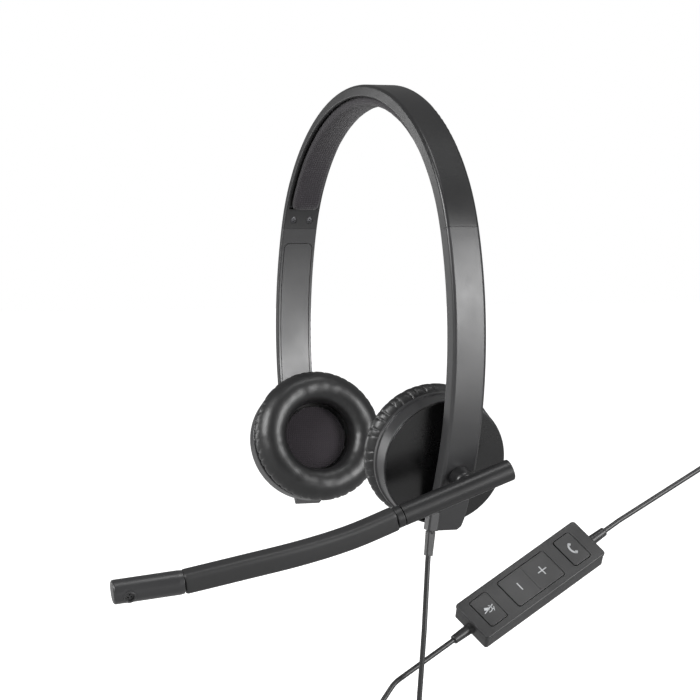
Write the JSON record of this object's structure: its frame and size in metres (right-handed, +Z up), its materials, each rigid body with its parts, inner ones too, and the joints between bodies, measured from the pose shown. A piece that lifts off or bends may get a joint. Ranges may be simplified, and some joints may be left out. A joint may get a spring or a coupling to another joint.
{
  "type": "office headset",
  "caption": "On-ear office headset with padded sprung headband, swivelling cups, swinging boom microphone and in-line controller with plug.",
  "frame": {"origin": "midpoint between the two ear cups, on the wearer's ear line", "axes": "+X to the wearer's left (boom side), -Y the way the wearer looks, +Z up"},
  "size_m": [0.1851, 0.3043, 0.2783],
  "materials": {
    "band_plastic": "satin moulded charcoal plastic",
    "arm_plastic": "satin moulded dark grey plastic",
    "pad_fabric": "woven fabric over foam",
    "carrier_plastic": "matte black plastic",
    "spring_steel": "brushed spring steel",
    "screw_steel": "bright machine screws",
    "cup_plastic": "satin plastic",
    "disc_plastic": "semi-gloss plastic",
    "pivot_plastic": "acetal",
    "magnet_steel": "nickel plated magnet",
    "speaker_cloth": "open weave speaker cloth",
    "leatherette": "soft leatherette over foam",
    "boom_plastic": "satin plastic",
    "boom_rubber": "matte flexible rubber",
    "mic_plastic": "satin plastic",
    "cable_pvc": "matte PVC jacket",
    "controller_plastic": "fine textured plastic",
    "key_rubber": "soft touch keys",
    "board_green": "circuit board",
    "usb_metal": "stamped steel"
  },
  "bodies": {
    "headband": {"headband_shell": "band_plastic", "spring_strip": "spring_steel", "band_screws": "screw_steel", "pad_base": "carrier_plastic", "head_pad": "pad_fabric"},
    "left_arm": {"left_arm_shell": "arm_plastic", "left_arm_cover": "arm_plastic", "left_detent_spring": "spring_steel", "left_ball_stud": "pivot_plastic", "boom_pivot_pin": "pivot_plastic", "boom_washer": "spring_steel", "cable_gland": "arm_plastic"},
    "left_pivot": {"left_pivot_cage": "pivot_plastic"},
    "left_cup": {"left_cup_shell": "cup_plastic", "left_cup_disc": "disc_plastic", "left_baffle": "carrier_plastic", "left_driver_frame": "carrier_plastic", "left_driver_magnet": "magnet_steel", "left_speaker_cloth": "speaker_cloth", "left_cushion": "leatherette", "left_cup_screws": "screw_steel"},
    "right_arm": {"right_arm_shell": "arm_plastic", "right_arm_cover": "arm_plastic", "right_detent_spring": "spring_steel", "right_ball_stud": "pivot_plastic"},
    "right_pivot": {"right_pivot_cage": "pivot_plastic"},
    "right_cup": {"right_cup_shell": "cup_plastic", "right_cup_disc": "disc_plastic", "right_baffle": "carrier_plastic", "right_driver_frame": "carrier_plastic", "right_driver_magnet": "magnet_steel", "right_speaker_cloth": "speaker_cloth", "right_cushion": "leatherette", "right_cup_screws": "screw_steel"},
    "boom": {"boom_hub": "boom_plastic", "boom_tube": "boom_plastic", "boom_end_cap": "boom_plastic", "boom_collar": "boom_plastic", "boom_core": "spring_steel", "sleeve_rear": "boom_rubber"},
    "boom_tip": {"sleeve_front": "boom_rubber", "mic_housing": "mic_plastic", "mic_port_ring": "mic_plastic", "mic_element": "magnet_steel"},
    "cord": {"cable_boot": "cable_pvc", "headset_cable": "cable_pvc", "usb_cable": "cable_pvc", "controller_top": "controller_plastic", "controller_bottom": "controller_plastic", "controller_board": "board_green", "key_switches": "screw_steel", "controller_screws": "screw_steel", "controller_boots": "cable_pvc", "usb_body": "cable_pvc", "usb_shell": "usb_metal", "usb_tongue": "carrier_plastic"},
    "mute": {"mute_key": "key_rubber"},
    "volume": {"volume_key": "key_rubber"},
    "call": {"call_key": "key_rubber"}
  },
  "joints": [
    {"name": "left_height", "type": "hinge", "parent": "headband", "child": "left_arm", "pos_m": [-0.073, 0, 0.0501], "axis": [0, 1, 0], "range_deg": [0, 10]},
    {"name": "right_height", "type": "hinge", "parent": "headband", "child": "right_arm", "pos_m": [0.073, 0, 0.0501], "axis": [0, -1, 0], "range_deg": [0, 10]},
    {"name": "left_cup_tilt", "type": "hinge", "parent": "left_arm", "child": "left_pivot", "pos_m": [0.06481, -0.00056, -0.00144], "axis": [0, 1, 0], "range_deg": [-0.6, 6]},
    {"name": "left_cup_swivel", "type": "hinge", "parent": "left_pivot", "child": "left_cup", "pos_m": [0.06481, -0.00056, -0.00144], "axis": [0.225, 0, 0.9744], "range_deg": [-8, 17]},
    {"name": "right_cup_tilt", "type": "hinge", "parent": "right_arm", "child": "right_pivot", "pos_m": [-0.06417, -0.00213, -0.00144], "axis": [0, -1, 0], "range_deg": [-0.6, 6]},
    {"name": "right_cup_swivel", "type": "hinge", "parent": "right_pivot", "child": "right_cup", "pos_m": [-0.06417, -0.00213, -0.00144], "axis": [-0.225, 0, 0.9744], "range_deg": [-8, 21]},
    {"name": "boom_swing", "type": "hinge", "parent": "left_arm", "child": "boom", "pos_m": [0.07911, 0, -0.00707], "axis": [-0.9361, 0, 0.3518], "range_deg": [-25, 220]},
    {"name": "boom_bend", "type": "hinge", "parent": "boom", "child": "boom_tip", "pos_m": [0.07813, -0.07521, -0.03634], "axis": [0.3409, -0.2477, 0.9069], "range_deg": [-15, 20]},
    {"name": "cord_swing", "type": "hinge", "parent": "left_arm", "child": "cord", "pos_m": [0.06955, -0.00825, -0.03047], "axis": [1, 0, 0], "range_deg": [-10, 10]},
    {"name": "mute_press", "type": "slide", "parent": "cord", "child": "mute", "axis": [-0.7352, 0.2964, -0.6097], "range_m": [0, 0.0004]},
    {"name": "volume_rock", "type": "hinge", "parent": "cord", "child": "volume", "pos_m": [0.05831, 0.0452, -0.05513], "axis": [0.6758, 0.3911, -0.6247], "range_deg": [-1.8, 1.8]},
    {"name": "call_press", "type": "slide", "parent": "cord", "child": "call", "axis": [-0.7352, 0.2964, -0.6097], "range_m": [0, 0.0004]}
  ]
}
